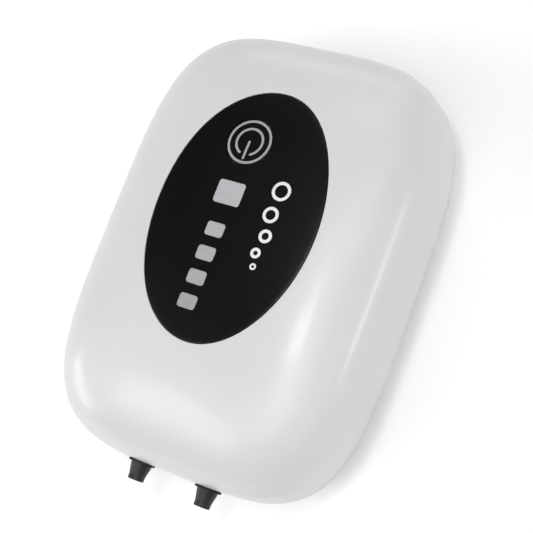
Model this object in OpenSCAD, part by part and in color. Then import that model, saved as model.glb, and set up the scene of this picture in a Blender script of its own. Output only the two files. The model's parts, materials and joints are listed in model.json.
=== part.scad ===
// Battery aquarium air pump with two air outlets.
// The pump lies on its back on four rubber feet: Z points out of the display,
// Y runs from the outlets at the bottom end to the charging port at the top end.

/* [Case] */
// Width of the case
case_w = 82; // [80:0.5:86]
// Length of the case without the outlets
case_l = 114; // [112:0.5:118]
// Height of the domed front above the widest line
crown_h = 20.8; // [20.6:0.1:23]
// Height of the straight band between the dome and the seam
skirt_h = 6; // [5.6:0.1:7]
// Depth of the rear dish before its base is cut flat
dish_h = 14.2; // [14:0.1:15]
// How much of the dish the flat base cuts off
base_cut = 1.4; // [1.2:0.1:1.6]
// Wall thickness of both shells
wall = 2.4; // [2.2:0.1:2.6]

/* [Display] */
// Width of the oval display panel
panel_w = 44.2; // [42:0.2:45]
// Length of the oval display panel
panel_l = 65.5; // [62:0.5:66]
// Thickness of the display panel
panel_t = 1.4; // [1.2:0.1:1.5]
// Travel of the power key
key_travel = 0.5; // [0.3:0.1:0.6]

/* [Outlets] */
// Distance between the two outlet centres
outlet_pitch = 19.7; // [19:0.1:21]
// How far the outlets stand out of the case
outlet_out = 4.9; // [4.5:0.1:6]
// Outside diameter at the outlet tip, for airline tube
outlet_d = 4.2; // [4:0.1:4.4]

/* [Battery] */
// Diameter of the lithium cell
cell_d = 18.5; // [18:0.1:18.5]
// Length of the lithium cell
cell_l = 65; // [64:0.5:65.5]

/* [Hidden] */
$fn = 48;

// Case surfaces: a rounded rectangle seen from the front, with a domed side profile.
half_w = case_w / 2;
half_l = case_l / 2;
outline_power = 4;
crown_power = 3;
dish_power = 2.2;
base_z = 1.2;
seam_z = base_z + dish_h - base_cut;
belt_z = seam_z + skirt_h;
crest_z = belt_z + crown_h;
floor_z = base_z + wall;
case_y = outlet_out / 2;
around = 64;
rings_up = 8;
seam_step = 0.45;
lip_h = 1.6;
lip_t = 1;
lip_gap = 0.12;
lip_in = wall + lip_gap;
lip_root = 3;
dish_steps_in = [0.3, 0.52, 0.64, 0.75, 0.84, 0.91, 0.955];
dish_steps_out = [0.985, 0.96, 0.91, 0.84, 0.75, 0.64, 0.54, 0.485];
// A cut runs this far past the surface it opens
over = 1;
// Posts run this far into the wall they join
collar_embed = 0.8;
board_embed = 1;
boss_embed = 0.5;
rear_embed = 0.6;

// Display
panel_y = 6;
panel_gap = 0.1;
adhesive_t = 0.06;
key_pos = [-3.3, 24.3];
key_r = 6.2;
key_gap = 0.15;
flange_r = 7.4;
collar_r = 8.6;
collar_z = 36.6;
flange_gap = 0.1;
flange_t = 1.1;
stem_r = 1.5;
status_pos = [-3.1, 10.6];
status_size = [7.4, 6];
level_x = -3.1;
level_y = [1, -5.2, -11.2, -17.5];
level_size = [5, 3.6];
window_corner = 0.8;
window_sink = 0.05;
shield_x = [-8.2, 2.2];
shield_y = [-20.8, 15];
shield_top = 37.6;
well_wall = 0.9;

// Main board under the display
board_z = 28.6;
board_t = 1.6;
board_top = board_z + board_t;
board_x = [-24, 22];
board_y = [-24, 38];
board_holes = [[-21, -21], [19, -21], [-21, 35], [19, 35]];
board_post_r = 2.5;
board_screw_r = 0.9;
board_screw_l = 5;
board_head_h = 1.2;
hole_clear = 0.2;
led_size = [2, 1.2, 0.8];
chip_x = [9, 13];
chip_y = [-11, -6];
chip_h = 1.5;
chip_pin_pitch = 1.27;
chip_pin_w = 0.4;
chip_pin_t = 0.3;
chip_pin_out = 1;
transistor_x = [-16, 4.5];
transistor_y = [-18, -16.4];
transistor_w = 3;
transistor_h = 1.1;
capacitor_pos = [14, 6];
capacitor_r = 2.5;
capacitor_h = 5.4;
connector_x = 12.5;
connector_half = 3.5;
connector_y = [-19, -14];
connector_h = 4;
lead_x = [11.2, 13.8];
lead_r = 0.6;
lead_end_y = -16;
lead_up = 2;
switch_size = 6;
switch_h = 3.5;
plunger_r = 1.7;
plunger_h = 0.9;
plunger_in = 0.6;
plunger_gap = 0.1;

// Pump works
mech_z = belt_z - 0.3;
plate_t = 2;
plate_z = mech_z - 9;
plate_top = plate_z + plate_t;
plate_x = 31;
plate_y = [-40, 13];
damper_h = 2;
mount_holes = [[-22, -33], [22, -33], [-26, 8], [26, 8]];
mount_screw_r = 1;
mount_screw_depth = 3.5;
mount_head_r = 2.2;
mount_head_h = 1.4;
mount_hole_r = 1.3;
mount_post_r = 3;
damper_r = 4;
chassis_window_r = 6;
arm_x = [14, 16];
arm_half_h = 6;
pivot = [15, 6];
pin_r = 2;
pin_gap = 0.05;
bush_r = 4;
bush_gap = 0.03;
bush_floor = 0.6;
socket_r = 6;
slot_w = 2.9;
arm_tail = 5;
magnet_y = -28;
magnet_t = 2;
magnet_w = 4.5;
magnet_from = [-4.8, 0.3];
magnet_half_h = 5;
core_half = 4;
core_screw_x = 8.4;
core_screw_y = [-7.5, 7.5];
core_screw_r = 0.9;
core_screw_foot = 0.6;
core_head_r = 1.7;
core_head_h = 1.2;
pole_x = [6.4, 10.4];
pole_half_l = 10;
bobbin_x = 6.2;
bobbin_flange = 14;
bobbin_outer = 9.6;
bobbin_inner = 8.2;
bobbin_t = 1;
winding_size = 13.2;
winding_corner = 2.4;
head_y = -12;
hub_x = [17.6, 19.6];
hub_r = 3;
hub_stem_r = 1.2;
diaphragm_r = [5.8, 6.8];
diaphragm_x = [18.8, 21.4];
chamber_r = 5;
chamber_depth = 2;
box_x = [22.6, 27, 31];
box_y = [-24, 0];
box_half_h = 7;
port_y = [-15.5, -8.5];
port_r = 0.9;
flap_r = 2;
flap_t = 0.5;
valve_wall = 1;
valve_rib = 0.6;
valve_chamber_y = [-20.4, -3.6];
valve_chamber_half_h = 5;
valve_inlet_y = -6;
valve_inlet_r = 1.2;
valve_screw_y = [-22, -2];
valve_screw_z = [mech_z - 4, mech_z + 4];
valve_screw_r = 0.8;
valve_head_r = 1.5;
valve_head_h = 1;
barb_x = 29;
barb_bore_r = 0.9;
barb_bore_end = -19;
barb_r = 1.6;
hose_r = 2.6;
hose_wall = 0.94;
hose_sides = 16;
hose_steps = 9;
wire_sides = 10;
wire_aside = [1, 0.35, 0.25];

// Outlets
outlet_x = outlet_pitch / 2;
outlet_bore_r = 1.25;
outlet_land = 1.2;
outlet_root_r = 2.85;
outlet_hole_r = 3.35;
outlet_flange_r = 4;
outlet_flange_t = 1;
outlet_flange_gap = 0.8;
grommet_r = 3.45;
grommet_out = 0.55;
grommet_bore_r = 2.88;
grommet_gap = 0.05;
hose_start_y = -28;
hose_end_y = -half_l + 8;

// Battery, charging port, feet, vent and screws
cell_r = cell_d / 2;
cell_y = 28;
cell_z = 17.5;
holder_z = 6.8;
holder_x = 23;
holder_end = 3;
holder_half_w = 8;
holder_end_half_w = 10.5;
holder_base_t = 5;
holder_gap = 0.1;
holder_post = [12, 24];
cell_nub = 1;
tab_t = 0.3;
tab_half_w = 3;
tab_z = [-3, 5];
battery_pad_x = [-20, 18];
battery_lead_r = 0.7;
battery_lead_out = 1.05;
port_w = 8.94;
port_h = 3.26;
port_z = 17.8;
charge_t = 1;
charge_z = port_z - port_h / 2 - charge_t;
charge_y = [44, 53];
charge_half_w = 10;
charge_post = [8, 46];
charge_post_r = 2;
charge_lead_x = [6.5, 8.7];
charge_lead_r = 0.6;
port_gap = 0.2;
port_y_end = half_l - 2.2;
port_depth = 7.3;
port_shell_t = 0.3;
port_back_t = 0.8;
tongue_half = [3.3, 0.35];
tongue_in = 0.9;
cap_w = 12.4;
cap_h = 6;
cap_t = 1.5;
cap_gap = 0.15;
cap_seat = 0.05;
cap_sunk = 0.1;
insert_play = 1;
insert_l = 4;
insert_pocket = [7.2, 1.3];
notch_r = 1.8;
notch_half = 2.5;
notch_y = 0.9;
foot_pos = [20, 32];
foot_r = 5;
foot_h = 2.8;
foot_rim_r = 6.5;
foot_rim_z = 1.6;
foot_pad_up = 1.2;
vent_y = -8;
vent_r = 7;
vent_cover_r = 8.6;
vent_cover_t = 1.1;
vent_ring_r = 9.6;
vent_ring_wall = 1.2;
vent_pitch = 2.4;
vent_slot_half = 0.6;
filter_t = 2;
screw_holes = [[-25, -45.5], [25, -45.5], [-24.5, 45], [24.5, 45]];
screw_r = 1.4;
screw_head_r = 2.8;
screw_head_t = 2;
screw_seat_z = 9.5;
screw_top_z = 24;
screw_end_gap = 0.5;
screw_clear = 0.3;
screw_cross = [3, 0.6, 1.8];
boss_gap = 0.2;
boss_diagonal = 0.7;
boss_r = 3.6;
rear_boss_r = 4.2;

// Radius of a point measured in the case outline, 1 on the outline itself.
function reach(x, y, a, b) =
    pow(pow(abs(x) / a, outline_power) + pow(abs(y) / b, outline_power), 1 / outline_power);

// A point on the case outline with half width a and half length b.
function outline(t, a, b) = [a * cos(t), b * sin(t)] / reach(cos(t), sin(t), 1, 1);

// Height of the domed front at (x, y), with the shell's inside a distance inset away.
function crown_z(x, y, inset = 0) = belt_z + (crown_h - inset)
    * pow(max(0, 1 - pow(reach(x, y, half_w - inset, half_l - inset), crown_power)),
        1 / crown_power);

// Height of the rear dish at (x, y), with the inside a distance inset away.
function dish_z(x, y, inset = 0) = max(base_z + inset, seam_z - (dish_h - inset)
    * pow(max(0, 1 - pow(reach(x, y, half_w - inset, half_l - inset), dish_power)),
        1 / dish_power));

function angles() = [for (i = [0:around - 1]) 360 * i / around];
function panel_point(t, s, gap = 0) =
    [s * (panel_w / 2 - gap) * cos(t), panel_y + s * (panel_l / 2 - gap) * sin(t)];
function lift(p, z) = [p[0], p[1], z];
function flat_ring(a, b, z) = [for (t = angles()) lift(outline(t, a, b), z)];

// Rings on the dome between the panel's edge (s = 0) and the widest line (s = 1).
function crown_ring(s, inset = 0) = [for (t = angles())
    let (p = panel_point(t, 1), q = outline(t, half_w - inset, half_l - inset),
        m = p + (q - p) * s)
    lift(m, crown_z(m[0], m[1], inset))];

// Rings inside the panel's oval, a distance sunk below the dome.
function panel_ring(s, sunk, inset = 0, gap = 0) = [for (t = angles())
    let (m = panel_point(t, s, gap)) lift(m, crown_z(m[0], m[1], inset) - sunk)];

// Rings on the dish, where s = 1 is the seam.
function dish_ring(s, inset = 0) = [for (t = angles())
    let (m = outline(t, half_w - inset, half_l - inset) * s)
    lift(m, s == 1 ? seam_z : dish_z(m[0], m[1], inset))];

// A closed solid through a list of rings, capped at a first and a last point.
module ring_solid(first, rings, last) {
    n = len(rings[0]);
    count = len(rings);
    points = concat([first], [for (r = rings) for (p = r) p], [last]);
    top = [for (i = [0:n - 1]) [0, 1 + (i + 1) % n, 1 + i]];
    side = [for (j = [0:count - 2]) for (i = [0:n - 1]) let (k = (i + 1) % n,
        a = 1 + j * n, b = 1 + (j + 1) * n)
        each [[a + i, a + k, b + k], [a + i, b + k, b + i]]];
    base = 1 + (count - 1) * n;
    end = [for (i = [0:n - 1]) [base + i, base + (i + 1) % n, count * n + 1]];
    polyhedron(points = points, faces = concat(top, side, end), convexity = 4);
}

// The case sits half the outlets' length towards +Y, so the origin is at mid length.
module in_case() {
    translate([0, case_y, 0]) children();
}

// side = 1 is the right half (+X), side = -1 the left half.
module on_side(side) {
    mirror([side < 0 ? 1 : 0, 0, 0]) children();
}

module block(x, y, z) {
    translate([x[0], y[0], z[0]]) cube([x[1] - x[0], y[1] - y[0], z[1] - z[0]]);
}

module post(p, r, z0, z1) {
    translate([p[0], p[1], z0]) cylinder(r = r, h = z1 - z0);
}

// A cylinder along X or along Y, centred on the given line.
module rod_x(x, y, z, r) {
    translate([x[0], y, z]) rotate([0, 90, 0]) cylinder(r = r, h = x[1] - x[0]);
}
module rod_y(x, y, z, r) {
    translate([x, y[0], z]) rotate([-90, 0, 0]) cylinder(r = r, h = y[1] - y[0]);
}

// A flat bar with half-round ends, in the XY plane.
module rounded_slot(w, h) {
    translate([-(w - h) / 2, -h / 2]) square([w - h, h]);
    for (s = [-1, 1]) translate([s * (w - h) / 2, 0]) circle(d = h);
}

module rounded_rect(size, r) {
    square([size[0] - 2 * r, size[1]], center = true);
    square([size[0], size[1] - 2 * r], center = true);
    for (x = [-1, 1]) for (y = [-1, 1])
        translate([x * (size[0] / 2 - r), y * (size[1] / 2 - r)]) circle(r = r);
}

// A slot-shaped bar along Y, from y[0] to y[1], at the charging port's height.
module port_bar(w, h, y) {
    translate([0, y[1], port_z]) rotate([90, 0, 0]) linear_extrude(y[1] - y[0]) rounded_slot(w, h);
}

// Circles of radius r around each point of a path, square to the path there.
// The path never runs along the direction aside, which sets the circles' start.
function unit(v) = v / norm(v);
function path_rings(path, r, n, aside) = [for (i = [0:len(path) - 1])
    let (ahead = unit(path[min(i + 1, len(path) - 1)] - path[max(i - 1, 0)]),
        u = unit(cross(ahead, aside)), v = cross(ahead, u))
    [for (k = [0:n - 1]) path[i] + r * (cos(360 * k / n) * u - sin(360 * k / n) * v)]];

// Insulated wire through a list of points.
module wire(path, r) {
    ring_solid(path[0], path_rings(path, r, wire_sides, wire_aside), path[len(path) - 1]);
}

// An open tube along a path: the outside rings out and the bore's rings back.
module path_tube(path, r, bore_r, n, aside) {
    out = path_rings(path, r, n, aside);
    back = path_rings(path, bore_r, n, aside);
    rings = concat(out, [for (i = [len(back) - 1:-1:0]) back[i]]);
    count = len(rings);
    polyhedron(points = [for (ring = rings) for (p = ring) p],
        faces = [for (j = [0:count - 1]) for (i = [0:n - 1]) let (k = (i + 1) % n,
            a = j * n, b = ((j + 1) % count) * n)
            each [[a + i, a + k, b + k], [a + i, b + k, b + i]]], convexity = 4);
}

module window_cuts(z0, z1) {
    translate([status_pos[0], status_pos[1], z0])
        linear_extrude(z1 - z0) rounded_rect(status_size, window_corner);
    for (y = level_y) translate([level_x, y, z0])
        linear_extrude(z1 - z0) rounded_rect(level_size, window_corner);
}

module front_shell() color([0.88, 0.88, 0.9]) in_case() difference() {
    union() {
        difference() {
            ring_solid([0, panel_y, crown_z(0, panel_y) - panel_t], concat(
                [for (s = [0.5, 1]) panel_ring(s, panel_t)],
                [for (k = [0:rings_up]) crown_ring(sin(90 * k / rings_up))],
                [flat_ring(half_w, half_l, seam_z),
                    flat_ring(half_w - wall, half_l - wall, seam_z)],
                [for (k = [rings_up:-1:0]) crown_ring(sin(90 * k / rings_up), wall)],
                [panel_ring(0.5, 0, wall)]),
                [0, panel_y, crown_z(0, panel_y, wall)]);
            post(key_pos, key_r + 2 * key_gap, collar_z, crest_z);
            window_cuts(collar_z, crest_z);
        }
        difference() {
            post(key_pos, collar_r, collar_z,
                crown_z(0, key_pos[1] + collar_r, wall) + collar_embed);
            post(key_pos, key_r + 2 * key_gap, collar_z - over, crest_z);
        }
        for (p = board_holes) difference() {
            post(p, board_post_r, board_top, crown_z(abs(p[0]) + board_post_r,
                abs(p[1]) + board_post_r, wall) + board_embed);
            post(p, board_screw_r, board_top - over, board_top + board_screw_l);
        }
        for (p = screw_holes) difference() {
            post(p, boss_r, seam_z + lip_h + boss_gap, crown_z(abs(p[0]) + boss_r / 2,
                abs(p[1]) + boss_r / 2, wall) + boss_embed);
            post(p, screw_r, seam_z, screw_top_z);
        }
    }
    for (s = [-1, 1])
        rod_y(s * outlet_x, [-half_l - over, -half_l + wall + 2 * over], mech_z, outlet_hole_r);
    port_bar(port_w + 2 * port_gap, port_h + 2 * port_gap, [half_l - wall - over, half_l + over]);
    port_bar(cap_w + 2 * cap_gap, cap_h + 2 * cap_gap, [half_l - cap_t, half_l + over]);
}

module rear_shell() color([0.82, 0.82, 0.84]) in_case() difference() {
    union() {
        ring_solid([0, 0, floor_z], concat(
            [for (s = dish_steps_in) dish_ring(s, wall)],
            [for (z = [seam_z - lip_root, seam_z + lip_h])
                flat_ring(half_w - lip_in - lip_t, half_l - lip_in - lip_t, z)],
            [for (z = [seam_z + lip_h, seam_z]) flat_ring(half_w - lip_in, half_l - lip_in, z)],
            [flat_ring(half_w - seam_step, half_l - seam_step, seam_z)],
            [for (s = dish_steps_out) dish_ring(s)]),
            [0, 0, base_z]);
        for (p = mount_holes) post(p, mount_post_r, dish_z(abs(p[0]) + mount_post_r,
            abs(p[1]) + mount_post_r) + rear_embed, plate_z - damper_h);
        for (x = [-1, 1]) {
            post([x * holder_post[0], holder_post[1]], mount_post_r, floor_z - over, holder_z);
            post([x * charge_post[0], charge_post[1]], charge_post_r,
                dish_z(charge_post[0] + charge_post_r, charge_post[1] + charge_post_r)
                + rear_embed, charge_z);
        }
        for (p = screw_holes) post(p, rear_boss_r, dish_z(abs(p[0]) + rear_boss_r * boss_diagonal,
            abs(p[1]) + rear_boss_r * boss_diagonal) + rear_embed, seam_z + lip_h);
        for (x = [-1, 1]) for (y = [-1, 1])
            post([x * foot_pos[0], y * foot_pos[1]], foot_rim_r, foot_rim_z,
                floor_z + foot_pad_up);
        post([0, vent_y], vent_ring_r, floor_z - over, floor_z + filter_t);
    }
    for (p = mount_holes)
        post(p, mount_screw_r, plate_z - damper_h - mount_screw_depth, plate_z);
    for (p = screw_holes) {
        post(p, screw_r + screw_clear, 0, seam_z + lip_h + over);
        post(p, screw_head_r + screw_clear, 0, screw_seat_z);
    }
    for (x = [-1, 1]) for (y = [-1, 1])
        post([x * foot_pos[0], y * foot_pos[1]], foot_r, 0, foot_h);
    post([0, vent_y], vent_r, 0, floor_z + over);
    post([0, vent_y], vent_cover_r, 0, base_z + vent_cover_t);
    post([0, vent_y], vent_ring_r - vent_ring_wall, floor_z, floor_z + filter_t + over);
}

module display_panel() color([0.03, 0.03, 0.03]) in_case() difference() {
    ring_solid([0, panel_y, crown_z(0, panel_y)], concat(
        [for (s = [0.25, 0.5, 0.75, 1]) panel_ring(s, 0, 0, panel_gap)],
        [for (s = [1, 0.5]) panel_ring(s, panel_t - adhesive_t, 0, panel_gap)]),
        [0, panel_y, crown_z(0, panel_y) - panel_t + adhesive_t]);
    post(key_pos, key_r + key_gap, belt_z, crest_z + over);
    window_cuts(belt_z, crest_z + over);
}

// The key's cap follows the dome; its flange stays under the shell.
function key_ring(s, sunk) = [for (t = angles())
    let (m = key_pos + s * key_r * [cos(t), sin(t)]) lift(m, crown_z(m[0], m[1]) - sunk)];

module power_key() color([0.03, 0.03, 0.03]) in_case() {
    cap_base = collar_z - flange_gap;
    ring_solid([key_pos[0], key_pos[1], crown_z(key_pos[0], key_pos[1])], concat(
        [for (s = [0.5, 1]) key_ring(s, 0)],
        [[for (p = key_ring(1, 0)) [p[0], p[1], cap_base]]]),
        [key_pos[0], key_pos[1], cap_base]);
    post(key_pos, flange_r, cap_base - flange_t, cap_base);
    post(key_pos, stem_r, board_top + switch_h + plunger_h, cap_base - flange_t);
}

module tact_plunger() color([0.1, 0.1, 0.1]) in_case()
    post(key_pos, plunger_r, board_top + switch_h - plunger_in, board_top + switch_h + plunger_h);

module tact_switch() color([0.2, 0.2, 0.22]) in_case() difference() {
    block([key_pos[0] - switch_size / 2, key_pos[0] + switch_size / 2],
        [key_pos[1] - switch_size / 2, key_pos[1] + switch_size / 2],
        [board_top, board_top + switch_h]);
    post(key_pos, plunger_r + plunger_gap, board_top + switch_h - plunger_in - 2 * key_travel,
        board_top + switch_h + over);
}

module light_window(p, size) {
    top = crown_z(p[0], p[1]) - window_sink;
    translate([p[0], p[1], shield_top]) linear_extrude(top - shield_top)
        rounded_rect(size, window_corner);
}

module status_window() color([0.72, 0.72, 0.73]) in_case() light_window(status_pos, status_size);

module level_windows() color([0.68, 0.68, 0.69]) in_case()
    for (y = level_y) light_window([level_x, y], level_size);

module light_well(p, size) {
    translate([p[0], p[1], board_top - over]) linear_extrude(shield_top - board_top + 2 * over)
        square([size[0] - well_wall, size[1] - well_wall], center = true);
}

module light_shield() color([0.93, 0.93, 0.93]) in_case() difference() {
    block(shield_x, shield_y, [board_top, shield_top]);
    light_well(status_pos, status_size);
    for (y = level_y) light_well([level_x, y], level_size);
}

module status_leds() color([0.95, 0.93, 0.8]) in_case()
    for (y = concat([status_pos[1]], level_y))
        block([level_x - led_size[0] / 2, level_x + led_size[0] / 2],
            [y - led_size[1] / 2, y + led_size[1] / 2], [board_top, board_top + led_size[2]]);

module main_board() color([0.05, 0.3, 0.15]) in_case() difference() {
    block(board_x, board_y, [board_z, board_top]);
    for (p = board_holes) post(p, board_screw_r + hole_clear, board_z - over, board_top + over);
}

module board_screws() color([0.7, 0.7, 0.72]) in_case() for (p = board_holes) {
    post(p, board_screw_r * 2, board_z - board_head_h, board_z);
    post(p, board_screw_r, board_z, board_top + board_screw_l);
}

module controller_chip() color([0.08, 0.08, 0.08]) in_case() {
    block(chip_x, chip_y, [board_top, board_top + chip_h]);
    for (y = [chip_y[0] + chip_pin_w:chip_pin_pitch:chip_y[1] - chip_pin_w])
        block([chip_x[0] - chip_pin_out, chip_x[1] + chip_pin_out], [y, y + chip_pin_w],
            [board_top, board_top + chip_pin_t]);
}

module driver_transistors() color([0.1, 0.1, 0.1]) in_case()
    for (x = transistor_x)
        block([x, x + transistor_w], transistor_y, [board_top, board_top + transistor_h]);

module storage_capacitor() color([0.15, 0.2, 0.4]) in_case()
    post(capacitor_pos, capacitor_r, board_top, board_top + capacitor_h);

module coil_connector() color([0.92, 0.9, 0.84]) in_case() difference() {
    block([connector_x - connector_half, connector_x + connector_half], connector_y,
        [board_top, board_top + connector_h]);
    for (x = lead_x)
        rod_y(x, [connector_y[0] - over, lead_end_y + 0.5], board_top + lead_up, lead_r + 0.05);
}

module coil_leads() color([0.75, 0.1, 0.08]) in_case() for (x = lead_x)
    wire([[x - 7, magnet_y, mech_z + bobbin_flange / 2 + 0.1], [x - 7, magnet_y, board_z - 0.6],
        [x - 3, -30, board_z + 0.6], [x, -27, board_top + lead_up],
        [x, lead_end_y, board_top + lead_up]], lead_r);

module battery_cell() color([0.15, 0.35, 0.6]) in_case() {
    rod_x([-cell_l / 2, cell_l / 2 - cell_nub], cell_y, cell_z, cell_r);
    rod_x([cell_l / 2 - cell_nub, cell_l / 2], cell_y, cell_z, cell_r / 3);
}

module battery_holder() color([0.2, 0.2, 0.2]) in_case() difference() {
    union() {
        block([-holder_x, holder_x], [cell_y - holder_half_w, cell_y + holder_half_w],
            [holder_z, holder_z + holder_base_t]);
        for (x = [-holder_x, holder_x - holder_end]) block([x, x + holder_end],
            [cell_y - holder_end_half_w, cell_y + holder_end_half_w],
            [holder_z + holder_end, cell_z]);
    }
    rod_x([-holder_x - over, holder_x + over], cell_y, cell_z, cell_r + holder_gap);
}

module battery_tabs() color([0.75, 0.75, 0.76]) in_case() for (s = [-1, 1])
    block([s < 0 ? -cell_l / 2 - tab_t : cell_l / 2, s < 0 ? -cell_l / 2 : cell_l / 2 + tab_t],
        [cell_y - tab_half_w, cell_y + tab_half_w], [cell_z + tab_z[0], cell_z + tab_z[1]]);

module battery_leads() color([0.7, 0.08, 0.06]) in_case() for (s = [-1, 1]) {
    pad = battery_pad_x[s < 0 ? 0 : 1];
    end = s * (cell_l / 2 + battery_lead_out);
    wire([[end, cell_y, cell_z + 2], [end, cell_y, board_z], [pad, cell_y, board_top + 3],
        [pad, cell_y, board_top]], battery_lead_r);
}

module charge_board() color([0.05, 0.3, 0.15]) in_case()
    block([-charge_half_w, charge_half_w], charge_y, [charge_z, charge_z + charge_t]);

module usb_shell() color([0.75, 0.75, 0.77]) in_case() difference() {
    port_bar(port_w, port_h, [port_y_end - port_depth, port_y_end]);
    port_bar(port_w - 2 * port_shell_t, port_h - 2 * port_shell_t,
        [port_y_end - port_depth + port_back_t, port_y_end + over]);
}

module usb_tongue() color([0.1, 0.1, 0.1]) in_case()
    block([-tongue_half[0], tongue_half[0]],
        [port_y_end - port_depth + port_back_t, port_y_end - tongue_in],
        [port_z - tongue_half[1], port_z + tongue_half[1]]);

module charge_leads() color([0.1, 0.1, 0.1]) in_case() for (x = charge_lead_x)
    wire([[x, 45.5, charge_z + charge_t], [x, 45.5, board_z - 2], [x, 41, board_top + 2.5],
        [x, 36, board_top + 2.5], [x, 36, board_top]], charge_lead_r);

module dust_plug() color([0.8, 0.8, 0.82]) in_case() difference() {
    union() {
        port_bar(cap_w, cap_h, [half_l - cap_t + cap_seat, half_l - cap_sunk]);
        port_bar(port_w - insert_play, port_h - insert_play,
            [half_l - cap_t - insert_l, half_l - cap_t + cap_seat]);
    }
    port_bar(insert_pocket[0], insert_pocket[1],
        [half_l - cap_t - insert_l - over, half_l - cap_t - 0.3]);
    rod_x([-notch_half, notch_half], half_l + notch_y, port_z + cap_h / 2, notch_r);
}

module filter_cover() color([0.75, 0.75, 0.77]) in_case() difference() {
    post([0, vent_y], vent_cover_r, base_z, base_z + vent_cover_t);
    for (i = [-2:2]) let (y = vent_y + vent_pitch * i,
        half = sqrt(pow(vent_r - 1, 2) - pow(vent_pitch * i, 2)))
        block([-half, half], [y - vent_slot_half, y + vent_slot_half],
            [base_z - over, base_z + vent_cover_t + over]);
}

module intake_filter() color([0.35, 0.35, 0.35]) in_case()
    post([0, vent_y], vent_ring_r - vent_ring_wall, floor_z, floor_z + filter_t);

module pump_chassis() color([0.25, 0.25, 0.27]) in_case() difference() {
    union() {
        block([-plate_x, plate_x], plate_y, [plate_z, plate_top]);
        for (s = [-1, 1]) on_side(s) {
            block(pole_x, [magnet_y - pole_half_l, magnet_y + pole_half_l],
                [plate_top, mech_z - core_half]);
            post(pivot, socket_r, plate_top, mech_z + arm_half_h);
        }
    }
    for (p = mount_holes) post(p, mount_hole_r, plate_z - over, plate_top + over);
    post([0, vent_y], chassis_window_r, plate_z - over, plate_top + over);
    for (s = [-1, 1]) on_side(s) {
        post(pivot, bush_r + bush_gap, plate_top, mech_z + arm_half_h + over);
        block([pivot[0] - slot_w / 2, pivot[0] + slot_w / 2],
            [pivot[1] - socket_r - over, pivot[1]], [plate_top, mech_z + arm_half_h + over]);
        for (y = core_screw_y)
            post([core_screw_x, magnet_y + y], core_screw_r, plate_z + core_screw_foot - 0.1, mech_z);
    }
}

module chassis_dampers() color([0.12, 0.12, 0.12]) in_case() for (p = mount_holes) difference() {
    post(p, damper_r, plate_z - damper_h, plate_z);
    post(p, mount_hole_r, plate_z - damper_h - over, plate_z + over);
}

module chassis_screws() color([0.7, 0.7, 0.72]) in_case() for (p = mount_holes) {
    post(p, mount_head_r, plate_top, plate_top + mount_head_h);
    post(p, mount_screw_r, plate_z - damper_h - mount_screw_depth + hole_clear, plate_top);
}

module iron_core() color([0.5, 0.5, 0.52]) in_case() difference() {
    union() {
        block([-pole_x[1], pole_x[1]], [magnet_y - core_half, magnet_y + core_half],
            [mech_z - core_half, mech_z + core_half]);
        for (s = [-1, 1]) on_side(s)
            block(pole_x, [magnet_y - pole_half_l, magnet_y + pole_half_l],
                [mech_z - core_half, mech_z + core_half]);
    }
    for (s = [-1, 1]) for (y = core_screw_y)
        post([s * core_screw_x, magnet_y + y], core_screw_r, mech_z - core_half - over,
            mech_z + core_half + over);
}

module core_screws() color([0.7, 0.7, 0.72]) in_case()
    for (s = [-1, 1]) for (y = core_screw_y) {
        place = [s * core_screw_x, magnet_y + y];
        post(place, core_head_r, mech_z + core_half, mech_z + core_half + core_head_h);
        post(place, core_screw_r, plate_z + core_screw_foot, mech_z + core_half);
    }

module square_tube(x, outer, inner) {
    difference() {
        block(x, [magnet_y - outer / 2, magnet_y + outer / 2],
            [mech_z - outer / 2, mech_z + outer / 2]);
        block([x[0] - over, x[1] + over], [magnet_y - inner / 2, magnet_y + inner / 2],
            [mech_z - inner / 2, mech_z + inner / 2]);
    }
}

module coil_bobbin() color([0.9, 0.88, 0.8]) in_case() {
    square_tube([-bobbin_x, bobbin_x], bobbin_outer, bobbin_inner);
    square_tube([-bobbin_x, -bobbin_x + bobbin_t], bobbin_flange, bobbin_inner);
    square_tube([bobbin_x - bobbin_t, bobbin_x], bobbin_flange, bobbin_inner);
}

module coil_winding() color([0.72, 0.38, 0.16]) in_case()
    translate([-bobbin_x + bobbin_t, magnet_y, mech_z]) rotate([90, 0, 90])
        linear_extrude(2 * (bobbin_x - bobbin_t)) difference() {
            rounded_rect([winding_size, winding_size], winding_corner);
            square(bobbin_outer, center = true);
        }

module arm(side) color([0.85, 0.85, 0.86]) in_case() on_side(side) {
    block(arm_x, [magnet_y - arm_tail, pivot[1] - 1], [mech_z - arm_half_h, mech_z + arm_half_h]);
    post(pivot, pin_r, mech_z - arm_half_h, mech_z + arm_half_h);
}
module left_arm() arm(-1);
module right_arm() arm(1);

module magnets(side) color([0.6, 0.6, 0.63]) in_case() on_side(side)
    for (y = magnet_from) block([arm_x[0] - magnet_t, arm_x[0]],
        [magnet_y + y, magnet_y + y + magnet_w], [mech_z - magnet_half_h, mech_z + magnet_half_h]);
module left_magnets() magnets(-1);
module right_magnets() magnets(1);

module pivot_bush(side) color([0.1, 0.1, 0.1]) in_case() on_side(side) difference() {
    post(pivot, bush_r, plate_top, mech_z + arm_half_h);
    post(pivot, pin_r + pin_gap, plate_top + bush_floor, mech_z + arm_half_h + over);
    block([pivot[0] - slot_w / 2, pivot[0] + slot_w / 2], [pivot[1] - bush_r - over, pivot[1]],
        [plate_top + bush_floor, mech_z + arm_half_h + over]);
}
module left_pivot_bush() pivot_bush(-1);
module right_pivot_bush() pivot_bush(1);

module hub(side) color([0.7, 0.6, 0.3]) in_case() on_side(side) {
    rod_x([arm_x[1], hub_x[0]], head_y, mech_z, hub_r);
    rod_x(hub_x, head_y, mech_z, hub_stem_r);
}
module left_hub() hub(-1);
module right_hub() hub(1);

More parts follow.
